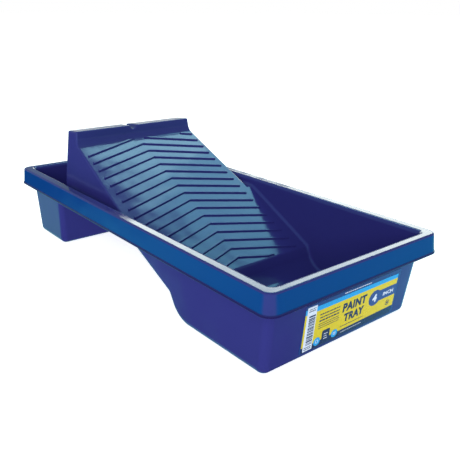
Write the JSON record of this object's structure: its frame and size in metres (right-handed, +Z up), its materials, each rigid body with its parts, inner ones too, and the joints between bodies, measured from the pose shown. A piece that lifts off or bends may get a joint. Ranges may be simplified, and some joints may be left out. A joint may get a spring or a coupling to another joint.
{
  "type": "paint roller tray",
  "caption": "Narrow moulded plastic tray for a mini paint roller, with a deep paint well, a sloping ribbed ramp that rises to a notched ridge, a rear foot pocket, and a front label.",
  "frame": {"origin": "on the standing surface, below the middle of the rim", "axes": "+X across the tray, +Y from the paint well to the rear foot, +Z up"},
  "size_m": [0.1538, 0.3418, 0.1023],
  "materials": {
    "blue_plastic": "gloss",
    "printed_label": "printed, gloss"
  },
  "bodies": {
    "root": {"tray_moulding": "blue_plastic", "front_label": "printed_label"}
  },
  "joints": []
}
